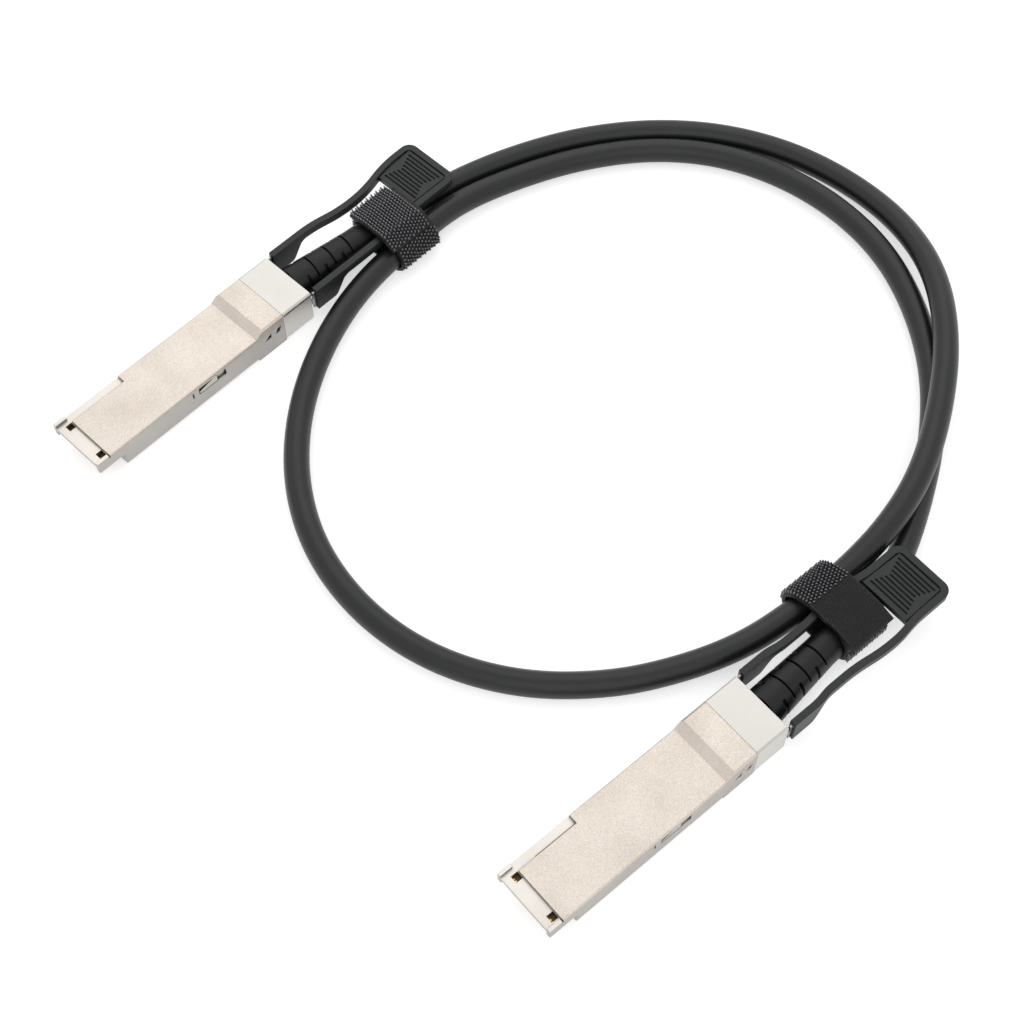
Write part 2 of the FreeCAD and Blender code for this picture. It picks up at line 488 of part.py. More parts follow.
def pullTab(tag, placement, leftLine, rightLine):
    """Moulded loop: feet on the slider's blades, flexed arms and a ribbed plate in the bight."""
    body = newBody(f"pull_tab_{tag}")
    footEnd = f"({tabFront} + Dims.foot_length)"
    neck = f"({footEnd} + Dims.foot_taper)"
    grip = f"({rear} + Dims.grip_place)"
    gripEnd = f"({grip} + Dims.grip_length)"
    band = "Dims.loop_band / 2"
    left = [(tabFront, "Dims.foot_plane")] + leftLine
    right = [(tabFront, "Dims.foot_plane")] + rightLine
    for name, kind, grow, front, back in (
            ("loop", "Pad", f"{band}", tabFront, gripEnd),
            ("opening", "Pocket", f"-{band}", f"({tabFront} - 1)", f"({gripEnd} - 2 * {band})")):
        leftEdges, leftLast = swayLine(left, "", grow)
        rightEdges, rightLast = swayLine(right, "-", f"-({grow})")
        rightBack, rightFirst = backwards(rightEdges, rightLast)
        edges = leftEdges + [(leftLast, None, 0), ((back, leftLast[1]), None, 0),
                             ((back, rightLast[1]), None, 0)] + rightBack + [(rightFirst, None, 0)]
        if kind == "Pocket":
            edges.append(((front, rightFirst[1]), None, 0))
            edges.append(((front, leftEdges[0][0][1]), None, 0))
        sketch = loopSketch(body, name, "XY_Plane", "Dims.foot_bottom", edges)
        extrude(body, kind, sketch, "Dims.loop_top - Dims.foot_bottom", back=(kind == "Pocket"))
    for size, place in (("Dims.grip_round", value(gripEnd)),
                        ("Dims.grip_inner_round", value(f"{gripEnd} - 2 * {band}"))):
        roundEdges(body, "Fillet", size, lambda edge: abs(edge.BoundBox.XMin - place) < 1e-3
                   and edge.BoundBox.ZLength > 1 and edge.BoundBox.YLength < 1e-3
                   and edge.BoundBox.XLength < 1e-3)
    under = [(footEnd, "(Dims.foot_bottom - 1)"), (f"({gripEnd} + 1)", "(Dims.foot_bottom - 1)"),
             (f"({gripEnd} + 1)", "Dims.loop_bottom"), (neck, "Dims.loop_bottom"),
             (footEnd, "Dims.foot_bottom")]
    extrude(body, "Pocket", polygonSketch(body, "under", "XZ_Plane", "0", under),
            "Dims.width * 2", middle=True)
    for size, place, height in (("Dims.foot_round", footEnd, "Dims.foot_bottom"),
                                ("Dims.neck_round", neck, "Dims.loop_bottom")):
        spot = vector(value(place), 0, value(height))
        roundEdges(body, "Fillet", size, lambda edge: abs(edge.BoundBox.XMin - spot.x) < 1e-2
                   and abs(edge.BoundBox.ZMin - spot.z) < 1e-3 and edge.BoundBox.ZLength < 1e-3
                   and edge.BoundBox.XLength < 0.2 and edge.BoundBox.YLength > 0.5)
    frontLeft = sideAt(left, grip)
    frontRight = sideAt(right, grip)
    rearLeft = left[-1][1]
    rearRight = right[-1][1]
    rim = f"({band} + Dims.rim_groove)"
    for name, back, inset, low, high in (
            ("plate", f"({gripEnd} - {band})", "0", "Dims.plate_bottom",
             "(Dims.plate_top - Dims.rim_depth)"),
            ("face", f"({gripEnd} - {band} - {rim})", rim, "(Dims.plate_top - Dims.rim_depth)",
             "Dims.plate_top")):
        corners = [(grip, f"({frontLeft} - {inset})"), (back, f"({rearLeft} - {inset})"),
                   (back, f"({inset} - {rearRight})"), (grip, f"({inset} - {frontRight})")]
        extrude(body, "Pad", polygonSketch(body, name, "XY_Plane", low, corners),
                f"{high} - {low}")
    count = 9
    for index in range(count):
        slimness = 1 - abs(index - (count - 1) / 2) / ((count - 1) / 2)
        reach = f"(Dims.groove_long - (Dims.groove_long - Dims.groove_short) * {slimness:.3f})"
        middle = f"({grip} + Dims.groove_setback + {index} * Dims.groove_pitch)"
        share = f"{index / (count - 1):.3f}"
        centre = (f"(({frontLeft} - {frontRight}) / 2 * (1 - {share})"
                  f" + ({rearLeft} - {rearRight}) / 2 * {share})")
        blockUp(body, "Pocket", f"groove_{index + 1}", f"({middle} - Dims.groove_width / 2)",
                f"({middle} + Dims.groove_width / 2)", f"({centre} - {reach})",
                f"({centre} + {reach})", "(Dims.plate_top - Dims.groove_depth)",
                "(Dims.plate_top + 1)")
    for side, sign in (("left", ""), ("right", "-")):
        room = "(Dims.arm_sheet / 2 + Dims.mould_gap)"
        blockUp(body, "Pocket", f"blade_seat_{side}", f"({tabFront} - 1)",
                f"({footEnd} - 1 + Dims.mould_gap)", f"{sign}(Dims.foot_plane - {room})",
                f"{sign}(Dims.foot_plane + {room})", "(Dims.blade_low - Dims.mould_gap)",
                "(Dims.blade_high + Dims.mould_gap)")
    return keep(body, f"pull_tab_{tag}", placement)


def places(*pairs):
    """Stations of an arm's centre line, measured from the collar's rear face."""
    return [(f"({rear} + {along})", across) for along, across in pairs]


footReach = "(Dims.foot_gap + Dims.foot_length)"
neckReach = "(Dims.foot_gap + Dims.foot_length + Dims.foot_taper)"
relaxedArm = places((footReach, "Dims.foot_plane"), ("Dims.waist_place", "Dims.waist_half"),
                    ("(Dims.waist_place + Dims.waist_length)", "Dims.waist_half"),
                    ("Dims.swell_place", "Dims.swell_half"), ("Dims.side_place", "Dims.side_half"))
swayedArm = places((neckReach, "Dims.foot_plane"), ("Dims.sway_place", "Dims.sway_half"),
                   ("Dims.sway_end", "Dims.sway_side"))
pressedArm = places(("Dims.press_place", "Dims.foot_plane"), ("Dims.press_end", "Dims.press_side"))


def box(name, front, back, right, left, low, high):
    """Part box between six planes, bound to the sheet."""
    item = doc.addObject("Part::Box", name)
    for field, start, end in (("Length", front, back), ("Width", right, left),
                              ("Height", low, high)):
        item.setExpression(field, f"{end} - {start}")
    for letter, start in (("x", front), ("y", right), ("z", low)):
        item.setExpression(f".Placement.Base.{letter}", start)
    return item


def group(label, members, placement):
    item = doc.addObject("Part::Compound", label)
    item.Links = members
    return keep(item, label, placement)


def paddleCard(tag, placement):
    """Circuit card with its edge in the nose, and the pads on both faces of that edge."""
    start = f"({nose} + Dims.card_setback)"
    body = newBody(f"paddle_card_{tag}")
    neck = f"({nose} + Dims.lip_length + Dims.front_wall - Dims.card_gap)"
    end = f"({start} + Dims.card_length)"
    narrow = "(Dims.cavity_half - Dims.card_gap)"
    plan = [(start, "-Dims.card_half"), (neck, "-Dims.card_half"), (neck, f"-{narrow}"),
            (end, f"-{narrow}"), (end, narrow), (neck, narrow), (neck, "Dims.card_half"),
            (start, "Dims.card_half")]
    extrude(body, "Pad", polygonSketch(body, "card_plan", "XY_Plane", cardLow, plan),
            "Dims.card_thickness")
    keep(body, f"paddle_card_{tag}", placement)
    pads = []
    count = 19
    for face, low in (("top", f"({cardLow} + Dims.card_thickness)"),
                      ("under", f"({cardLow} - Dims.pad_thickness)")):
        for index in range(count):
            middle = f"({index - (count - 1) // 2} * Dims.pad_pitch)"
            pads.append(box(f"pad_{face}_{tag}_{index + 1}", f"({start} + 0.4)",
                            f"({start} + 0.4 + Dims.pad_length)",
                            f"({middle} - Dims.pad_width / 2)", f"({middle} + Dims.pad_width / 2)",
                            low, f"({low} + Dims.pad_thickness)"))
    group(f"card_contacts_{tag}", pads, placement)


def wiring(tag, placement):
    """Potted solder joints on the card and eight shielded pairs gathered into the cable."""
    cardEnd = f"({nose} + Dims.card_setback + Dims.card_length)"
    joints = []
    for face, low in (("top", f"({cardLow} + Dims.card_thickness)"),
                      ("under", f"({cardLow} - Dims.joint_height)")):
        joints.append(box(f"joint_{face}_{tag}", f"({cardEnd} - Dims.joint_length)", cardEnd,
                          "-(Dims.cavity_half - 0.2)", "(Dims.cavity_half - 0.2)", low,
                          f"({low} + Dims.joint_height)"))
    group(f"solder_potting_{tag}", joints, placement)
    radius = value("Dims.pair_diameter / 2")
    begin = value(cardEnd) + radius / 3
    finish = value(f"{rear} - Dims.cable_inlet") - radius / 3
    middle = value(axis)
    reach = value("Dims.card_thickness / 2") + radius
    pairs = []
    for layer in (-1, 1):
        for index in range(4):
            lane = index - 1.5
            source = vector(begin, lane * value("Dims.pair_spread"),
                            value(f"{cardLow} + Dims.card_thickness / 2") + layer * reach)
            target = vector(finish, lane * value("Dims.pair_gather"),
                            middle + layer * value("Dims.pair_gather") / 2)
            run = target - source
            pairs.append(Part.makeCylinder(radius, run.Length, source, run))
    item = doc.addObject("Part::Feature", f"wire_pairs_{tag}")
    item.Shape = Part.makeCompound(pairs)
    return keep(item, f"wire_pairs_{tag}", placement)


def crimpFerrule(tag, placement):
    """Crimped ring on the cable's end, held by the cradle."""
    body = newBody(f"crimp_ferrule_{tag}")
    ring = circleSketch(body, "ring", "YZ_Plane", f"({rear} - Dims.ferrule_place)", "0", axis,
                        ["Dims.cable_diameter / 2 + Dims.ferrule_wall",
                         "Dims.cable_diameter / 2 + Dims.seat_gap"])
    extrude(body, "Pad", ring, "Dims.ferrule_length")
    return keep(body, f"crimp_ferrule_{tag}", placement)


def returnSprings(tag, placement):
    """Two coil springs behind the slider's cross bar, at their length with the tab pulled."""
    start = value(f"{barFront} + Dims.arm_sheet + Dims.travel") + 0.15
    length = value(f"{rear} - Dims.sheet_wall") - 0.1 - start
    wire = value("Dims.spring_wire")
    radius = value("Dims.spring_outer") / 2 - wire / 2
    height = value("Dims.bar_top") - value("Dims.spring_outer") / 2
    coils = []
    for side in (-1, 1):
        coil = Part.makeHelix((length - wire) / value("Dims.spring_turns"), length - wire, radius)
        profile = Part.Wire(Part.makeCircle(wire / 2, vector(radius, 0, 0), vector(0, 1, 0)))
        solid = Part.Wire(coil.Edges).makePipeShell([profile], True, True)
        turn = FreeCAD.Rotation(vector(0, 1, 0), 90)
        spot = vector(start + wire / 2, side * value("Dims.spring_plane"), height)
        solid.Placement = FreeCAD.Placement(spot, turn)
        coils.append(solid)
    item = doc.addObject("Part::Feature", f"return_springs_{tag}")
    item.Shape = Part.makeCompound(coils)
    return keep(item, f"return_springs_{tag}", placement)


def strainRelief(tag, placement, turn):
    """Moulded boot turned a little about the collar's rear face, with rings and side notches."""
    body = newBody(f"strain_relief_{tag}")
    bore = "(Dims.cable_diameter / 2 + Dims.seat_gap)"
    root = "Dims.boot_root / 2"
    end = "Dims.boot_end / 2"
    neck = "Dims.neck_diameter / 2"
    flange = "-(Dims.sheet_wall + Dims.flange_gap)"
    line = [(f"({flange} - Dims.flange_length)", bore),
            (f"({flange} - Dims.flange_length)", "Dims.flange_diameter / 2"),
            (flange, "Dims.flange_diameter / 2"), (flange, neck), ("Dims.boot_gap", neck),
            ("Dims.boot_gap", root), ("Dims.boot_taper", end),
            ("(Dims.boot_length - Dims.end_round)", end),
            ("Dims.boot_length", f"({end} - Dims.end_round)"), ("Dims.boot_length", bore)]
    sketch = polygonSketch(body, "profile", "XY_Plane", "0", line)
    turnAbout(body, "Revolution", sketch, "360")
    slope = "((Dims.boot_root - Dims.boot_end) / 2 / (Dims.boot_taper - Dims.boot_gap))"
    for index in range(3):
        ring = f"(Dims.ring_first + {index} * Dims.ring_pitch)"
        notch = f"({ring} - Dims.ring_pitch / 2)"
        for name, role, middle, width, span in (
                ("ring", "XZ_Plane", ring, "Dims.ring_width", "Dims.ring_span"),
                ("notch", "XY_Plane", notch, "Dims.notch_width", "Dims.notch_span")):
            skin = f"({root} - ({middle} - Dims.boot_gap) * {slope})"
            for side, sign in (("first", ""), ("second", "-")):
                corners = [(f"({middle} - {width} / 2)", f"{sign}({skin} - Dims.ring_depth)"),
                           (f"({middle} + {width} / 2)", f"{sign}({skin} - Dims.ring_depth)"),
                           (f"({middle} + {width} / 2)", f"{sign}({skin} + 1)"),
                           (f"({middle} - {width} / 2)", f"{sign}({skin} + 1)")]
                cut = polygonSketch(body, f"{name}_{side}_{index + 1}", role, "0", corners)
                turnAbout(body, "Groove", cut, span)
    swing = FreeCAD.Placement(vector(value(rear), 0, value(axis)),
                              FreeCAD.Rotation(vector(0, 0, 1), turn))
    return keep(body, f"strain_relief_{tag}", placement.multiply(swing))


def wrapStrap(tag, placement, side):
    """Hook-and-loop band round the boot, one pull-tab arm and the neighbouring strand."""
    strandRadius = value("Dims.cable_diameter / 2 + Dims.wrap_gap + Dims.strand_room")
    bootRadius = value("Dims.boot_end / 2 + Dims.wrap_gap")
    eighth = math.tan(math.pi / 8)
    strandSpot = value(f"Dims.strand_side_{tag}")
    strandHeight = value(f"Dims.strand_height_{tag}")
    bootSpot = value("Dims.boot_swing")
    bootHeight = value(axis)
    top = value("Dims.loop_top + Dims.wrap_gap")
    low = value("Dims.wrap_thickness")
    armEdge = value("Dims.swell_half + Dims.loop_band / 2 + Dims.wrap_gap")
    outline = [(strandSpot + strandRadius, strandHeight - strandRadius * eighth),
               (strandSpot + strandRadius, strandHeight + strandRadius * eighth),
               (strandSpot + strandRadius * eighth, strandHeight + strandRadius),
               (armEdge, top), (bootSpot - bootRadius * eighth, top),
               (bootSpot - bootRadius, bootHeight + bootRadius * eighth),
               (bootSpot - bootRadius, bootHeight - bootRadius * eighth),
               (bootSpot - bootRadius * eighth, low), (strandSpot + strandRadius * eighth, low)]
    corners = [vector(0, side * across, up) for across, up in outline]
    start = value(f"{rear}") + value("Dims.wrap_front") - value("Dims.collar_length / 2")
    core = Part.Wire(Part.makePolygon(corners + corners[:1]).Edges)
    thickness = value("Dims.wrap_thickness")
    soft = value("Dims.wrap_round")
    small = Part.Face(core).makeOffset2D(-soft)
    width = value("Dims.wrap_width")

    def filled(grow):
        face = small.makeOffset2D(soft + grow, 0)
        solid = face.extrude(vector(width, 0, 0))
        solid.translate(vector(start, 0, 0))
        return solid

    band = filled(thickness).cut(filled(0))
    # the tail laps over the top and ends part of the way down the strand's side
    tail = filled(2 * thickness).cut(filled(thickness))
    reach = strandSpot + strandRadius + 4 * thickness
    keepZone = Part.makeBox(width, reach - bootSpot, top + 4 * thickness - strandHeight,
                            vector(start, 0, strandHeight))
    keepZone.translate(vector(0, bootSpot if side > 0 else -reach, 0))
    lapped = band.fuse(tail.common(keepZone)).removeSplitter()
    item = doc.addObject("Part::Feature", f"strap_{tag}")
    item.Shape = lapped.Solids[0]
    return keep(item, f"strap_{tag}", placement)


plugA = FreeCAD.Placement()
plugB = FreeCAD.Placement(vector(value("Dims.plug_shift"), value("Dims.plug_reach"), 0),
                          FreeCAD.Rotation(vector(0, 0, 1), value("Dims.plug_turn")))

bend = value("Dims.boot_turn")
for tag, placement, turn, slitUp, leftLine, rightLine in (
        ("a", plugA, -bend, True, swayedArm, pressedArm),
        ("b", plugB, bend, False, relaxedArm, relaxedArm)):
    lowerShell(tag, placement)
    topCover(tag, placement)
    rearCollar(tag, placement, slitUp)
    latchSlider(tag, placement)
    pullTab(tag, placement, leftLine, rightLine)
    paddleCard(tag, placement)
    wiring(tag, placement)
    crimpFerrule(tag, placement)
    returnSprings(tag, placement)
    strainRelief(tag, placement, turn)
wrapStrap("a", plugA, -1)
wrapStrap("b", plugB, 1)


def inPlug(placement, turn, along):
    """Point on a boot's axis, so far behind the collar's rear face."""
    swing = FreeCAD.Rotation(vector(0, 0, 1), turn)
    local = vector(value(rear), 0, value(axis)) + swing.multVec(vector(along, 0, 0))
    return placement.multVec(local)


# One and a half turns of cable on the floor, from plug A's boot round the outside, over the inner
# turn beside plug B, round the lower strand and back inside to plug B.
freeRun = [
    (50.5, -3.4, 4.6), (67, -4.9, 3.5), (86, -11.2, 3.45), (104, -20.3, 3.45),
    (120.5, -33.3, 3.45), (133.5, -49.5, 3.45), (142, -69, 3.45), (144.8, -90, 3.5),
    (141.5, -110, 5.0), (130.5, -128.5, 9.0), (113.5, -144.5, 11.0), (93.5, -157, 11.1),
    (74, -165.6, 11.1), (57, -168.7, 9.3), (41, -168.1, 5.7), (26, -166.2, 4.7),
    (9.5, -162.9, 3.8), (-6, -156.3, 3.45), (-22.5, -146, 3.45), (-38, -130, 3.45),
    (-48, -110, 3.45), (-51, -88, 3.45), (-47, -66, 3.45), (-36.5, -47, 3.45),
    (-21, -31.5, 3.45), (-2, -20, 3.6), (19, -13.2, 4.4), (41, -11.6, 4.8), (60, -11.0, 4.2),
    (80, -16.8, 3.5), (98, -25.3, 3.45), (114, -37, 3.45), (126, -52, 3.45), (133, -70, 3.45),
    (135, -90, 3.45), (131.5, -110, 3.45), (122, -128.5, 3.45), (108, -145.5, 3.45),
    (90, -159, 3.45), (71, -168.8, 3.45), (54, -175.6, 3.5), (40, -177.8, 4.6),
]
inlet = value("Dims.cable_inlet")
bootLength = value("Dims.boot_length")
route = [plugA.multVec(vector(value(rear) - inlet, 0, value(axis))),
         plugA.multVec(vector(value(rear), 0, value(axis))), inPlug(plugA, -bend, bootLength)]
route += [vector(*spot) for spot in freeRun]
route += [inPlug(plugB, bend, bootLength), plugB.multVec(vector(value(rear), 0, value(axis))),
          plugB.multVec(vector(value(rear) - inlet, 0, value(axis)))]


def cordPath(points):
    """Straight runs joined by the largest tangent arcs that both runs allow."""
    edges = []
    radii = []
    last = points[0]
    for before, corner, after in zip(points, points[1:], points[2:]):
        towards = (before - corner).normalize()
        onwards = (after - corner).normalize()
        reach = 0.45 * min((before - corner).Length, (after - corner).Length)
        turn = math.pi - towards.getAngle(onwards)
        radius = reach / math.tan(turn / 2)
        middle = (towards + onwards).normalize()
        centre = corner + middle * (radius / math.cos(turn / 2))
        first = corner + towards * reach
        second = corner + onwards * reach
        edges.append(Part.LineSegment(last, first).toShape())
        edges.append(Part.Arc(first, centre - middle * radius, second).toShape())
        radii.append(round(radius, 1))
        last = second
    edges.append(Part.LineSegment(last, points[-1]).toShape())
    return Part.Wire(edges), radii


path, radii = cordPath(route)
print("cable arc radii", radii)
radius = value("Dims.cable_diameter / 2")
section = Part.Wire(Part.makeCircle(radius, route[0], route[1] - route[0]))
cable = doc.addObject("Part::Feature", "cable")
cable.Shape = path.makePipeShell([section], True, False)
keep(cable, "cable", FreeCAD.Placement())
print(f"cable length {path.Length:.1f}, volume against section times length "
      f"{cable.Shape.Volume / (math.pi * radius ** 2 * path.Length):.4f}")

doc.removeObject(gauge.Name)
doc.recompute()
for item in doc.Objects:
    if "Invalid" in item.State or "Error" in item.State:
        raise RuntimeError(f"{item.Name} failed: {item.State}")
for item in nodes:
    shape = item.Shape
    if shape.isNull() or not shape.isValid() or not shape.Solids:
        raise RuntimeError(f"{item.Label} has no valid solid")

os.makedirs("parts", exist_ok=True)
for item in nodes:
    item.Shape.exportStep(f"parts/{item.Label}.step")
    print(f"{item.Label}: {len(item.Shape.Solids)} solid(s), {item.Shape.Volume:.1f} mm3")
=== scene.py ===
import math

import bmesh
import bpy
from mathutils import Matrix, Vector


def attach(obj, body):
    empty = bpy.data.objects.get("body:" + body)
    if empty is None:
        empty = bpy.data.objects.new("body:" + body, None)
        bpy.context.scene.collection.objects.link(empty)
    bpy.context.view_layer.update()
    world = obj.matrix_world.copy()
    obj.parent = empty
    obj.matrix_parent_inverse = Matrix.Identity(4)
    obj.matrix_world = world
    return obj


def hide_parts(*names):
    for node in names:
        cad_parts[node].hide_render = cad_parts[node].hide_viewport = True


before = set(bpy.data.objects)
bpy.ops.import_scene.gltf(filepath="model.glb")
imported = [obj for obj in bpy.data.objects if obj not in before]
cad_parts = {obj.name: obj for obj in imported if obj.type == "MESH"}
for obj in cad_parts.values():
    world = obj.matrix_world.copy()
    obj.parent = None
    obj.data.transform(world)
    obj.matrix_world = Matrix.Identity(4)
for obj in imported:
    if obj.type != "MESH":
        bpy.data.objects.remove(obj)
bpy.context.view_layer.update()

mm = 0.001


def toLinear(code):
    # sRGB hex to the linear colour that a shader socket takes
    values = []
    for start in (0, 2, 4):
        channel = int(code[start:start + 2], 16) / 255
        values.append(channel / 12.92 if channel <= 0.04045 else ((channel + 0.055) / 1.055) ** 2.4)
    return (values[0], values[1], values[2], 1.0)


def addNode(tree, kind, settings=None, inputs=None):
    # one node with its settings, and inputs that are either a value or another node's socket
    node = tree.nodes.new(kind)
    for name, value in (settings or {}).items():
        setattr(node, name, value)
    for name, value in (inputs or {}).items():
        if isinstance(value, bpy.types.NodeSocket):
            tree.links.new(value, node.inputs[name])
        else:
            node.inputs[name].default_value = value
    return node


def newPiece(name, mesh):
    item = bpy.data.objects.new(name, mesh)
    bpy.context.scene.collection.objects.link(item)
    return item


cameraSettings = {
    "place": (-0.18155, -0.2650, 0.4144),
    "target": (-0.00215, -0.09267, 0.0),
    "lens": 65.04,  # mm on a sensor 36 mm wide
    "sensor": 36,
}
cameraData = bpy.data.cameras.new("studioCamera")
cameraData.lens = cameraSettings["lens"]
cameraData.sensor_width = cameraSettings["sensor"]
camera = newPiece("studioCamera", cameraData)
camera.location = cameraSettings["place"]
sight = Vector(cameraSettings["target"]) - Vector(cameraSettings["place"])
camera.rotation_euler = sight.to_track_quat("-Z", "Y").to_euler()
bpy.context.scene.camera = camera
print("camera set")


# the two plugs: where each stands, which way its boot leans, and the side its strand of cable lies on
plugs = {
    "a": {"place": Matrix.Identity(4), "bootTurn": math.radians(-4.5), "side": -1},
    "b": {
        "place": (Matrix.Translation((-8.78 * mm, -176.7 * mm, 0))
                  @ Matrix.Rotation(math.radians(-5.53), 4, "Z")),
        "bootTurn": math.radians(4.5),
        "side": 1,
    },
}
plugSizes = {"rear": 5.15 * mm, "axis": 5.55 * mm, "bootLength": 29.5 * mm, "inlet": 11.5 * mm}

cableSettings = {
    "diameter": 6.9 * mm,
    "length": 0.9415,
    "freeRun": [  # the route between the two boots, in mm
        (50.5, -3.4, 4.6), (67, -4.9, 3.5), (86, -11.2, 3.45), (104, -20.3, 3.45),
        (120.5, -33.3, 3.45), (133.5, -49.5, 3.45), (142, -69, 3.45), (144.8, -90, 3.5),
        (141.5, -110, 5.0), (130.5, -128.5, 9.0), (113.5, -144.5, 11.0), (93.5, -157, 11.1),
        (74, -165.6, 11.1), (57, -168.7, 9.3), (41, -168.1, 5.7), (26, -166.2, 4.7),
        (9.5, -162.9, 3.8), (-6, -156.3, 3.45), (-22.5, -146, 3.45), (-38, -130, 3.45),
        (-48, -110, 3.45), (-51, -88, 3.45), (-47, -66, 3.45), (-36.5, -47, 3.45),
        (-21, -31.5, 3.45), (-2, -20, 3.6), (19, -13.2, 4.4), (41, -11.6, 4.8), (60, -11.0, 4.2),
        (80, -16.8, 3.5), (98, -25.3, 3.45), (114, -37, 3.45), (126, -52, 3.45), (133, -70, 3.45),
        (135, -90, 3.45), (131.5, -110, 3.45), (122, -128.5, 3.45), (108, -145.5, 3.45),
        (90, -159, 3.45), (71, -168.8, 3.45), (54, -175.6, 3.5), (40, -177.8, 4.6),
    ],
}


def plugPoint(tag, along, swung):
    # a point on the axis behind the collar: straight inside the plug, swung with the boot outside
    plug = plugs[tag]
    turn = plug["bootTurn"] if swung else 0.0
    local = Vector((plugSizes["rear"] + along * math.cos(turn), along * math.sin(turn), plugSizes["axis"]))
    return plug["place"] @ local


def makeCable():
    route = [plugPoint("a", -plugSizes["inlet"], False), plugPoint("a", 0, False),
             plugPoint("a", plugSizes["bootLength"], True)]
    route += [Vector(point) * mm for point in cableSettings["freeRun"]]
    route += [plugPoint("b", plugSizes["bootLength"], True), plugPoint("b", 0, False),
              plugPoint("b", -plugSizes["inlet"], False)]
    line = bpy.data.curves.new("cable", "CURVE")
    line.dimensions = "3D"
    spline = line.splines.new("NURBS")
    spline.points.add(len(route) - 1)
    for point, place in zip(spline.points, route):
        point.co = (place.x, place.y, place.z, 1)
        point.radius = cableSettings["diameter"] / 2
    spline.order_u = 3
    spline.use_endpoint_u = True
    spline.resolution_u = 10
    line.bevel_depth = 1.0  # times each point's radius, so that the curve's own box fits the cable
    line.bevel_resolution = 10
    line.use_fill_caps = True
    return newPiece("cableJacket", line)


cable = makeCable()
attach(cable, "cable_set")
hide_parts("cable")
print("cable laid")


# each strap is one closed band of tape round boot, tab arm and strand, with a lapped end over it;
# lengths in mm
strapSettings = {
    "front": 31.8,  # the tape's edge nearest the plug, along the plug's own X
    "width": 14.0, "thickness": 0.9, "gap": 0.3, "round": 1.2,
    "strandRadius": 3.45, "strandRoom": 0.4,
    "strandSide": {"a": 11.9, "b": 13.8}, "strandHeight": {"a": 4.7, "b": 5.1},  # the strand's middle
    "bootSwing": 2.3, "bootRadius": 4.45, "bootHeight": 5.55,  # the boot's middle, and its half width
    "top": 11.1, "armEdge": 10.55,  # the band's inside over the tab's arm
    "bandShift": {"a": 1.0, "b": 0.0}, "flapShift": {"a": -0.4, "b": 0.0},  # the turns don't quite line up
    "hookPitchAcross": 0.93, "hookPitchAlong": 1.05,
    "hookWide": 0.42, "hookLong": 0.62, "hookTall": 0.95,
    "hookRoot": 0.05,  # how deep a hook's root sits in the tape
    "hookBend": 0.3, "hookNarrow": 0.2, "hookShorten": 0.4,  # a hook's lean and taper at its tip
    "hookLean": {"a": 1, "b": -1},  # the way that the hooks lean round the band
    "hooksEnd": {"a": -0.1, "b": -1.0},  # where the band's hooks start, past the flap on the strand's side
    "hooksLow": 1.3, "hooksUnder": -0.3,  # no hooks nearer the table, or where the band faces further down
    "lappedFace": 0.2,  # the band is covered by its lapped end only where it faces up more than this
    "roundSteps": 4, "flapRoundSteps": 3, "pathStep": 0.5, "widthCuts": 6,  # how finely it is drawn
    "weavePitch": 0.45,  # half a stitch, drawn coarser than the real weave so that it shows
    "weaveRelief": 0.3, "weaveFace": 0.8,  # a stitch's height, and the least that its face looks up
    # the lapped end, from the boot's side (a) or the strand's side (b) to its cut end, as across and up
    "flap": {
        "a": [(-2.9, 11.6), (2.0, 12.45), (11.1, 12.45), (14.9, 9.9)],
        "b": [(11.2, 12.4), (8.6, 12.45), (1.0, 12.3), (-5.2, 10.6)],
    },
}


def strapOutline(tag):
    # corners of the space inside the band, seen along the plug, boot side to strand side
    s = strapSettings
    side = plugs[tag]["side"]
    strand = s["strandRadius"] + s["gap"] + s["strandRoom"]
    boot = s["bootRadius"] + s["gap"]
    eighth = math.tan(math.pi / 8)
    across = s["strandSide"][tag]
    up = s["strandHeight"][tag]
    low = s["thickness"]
    corners = [
        (s["bootSwing"] - boot * eighth, low), (s["bootSwing"] - boot, s["bootHeight"] - boot * eighth),
        (s["bootSwing"] - boot, s["bootHeight"] + boot * eighth), (s["bootSwing"] - boot * eighth, s["top"]),
        (s["armEdge"], s["top"]), (across + strand * eighth, up + strand),
        (across + strand, up + strand * eighth), (across + strand, up - strand * eighth),
        (across + strand * eighth, low),
    ]
    return [Vector((0, side * y, z)) * mm for y, z in corners]


def roundedPath(corners, radius, steps, closed):
    # the path with each corner turned into a short arc
    points = [] if closed else [corners[0]]
    count = len(corners)
    for index in range(count) if closed else range(1, count - 1):
        corner = corners[index]
        before = (corners[index - 1] - corner).normalized()
        after = (corners[(index + 1) % count] - corner).normalized()
        halfTurn = (math.pi - before.angle(after)) / 2
        reach = radius * math.tan(halfTurn)
        centre = corner + (before + after).normalized() * (radius / math.cos(halfTurn))
        first = (corner + before * reach - centre).normalized()
        second = (corner + after * reach - centre).normalized()
        for step in range(steps + 1):
            points.append(centre + first.slerp(second, step / steps) * radius)
    return points if closed else points + [corners[-1]]


def walkPath(points, pitch, closed, inside):
    # evenly spaced stations with their outward direction, which is away from a point inside the wrap
    spots = points + points[:1] if closed else points
    lengths = [(b - a).length for a, b in zip(spots, spots[1:])]
    total = sum(lengths)
    count = max(2, round(total / pitch))
    stations = []
    for number in range(count):
        left = (number + 0.5) * total / count
        for start, end, length in zip(spots, spots[1:], lengths):
            if left <= length:
                along = (end - start).normalized()
                out = Vector((1, 0, 0)).cross(along)
                place = start + along * left
                if out.dot(place - inside) < 0:
                    out = -out
                stations.append((place, out))
                break
            left -= length
    return stations


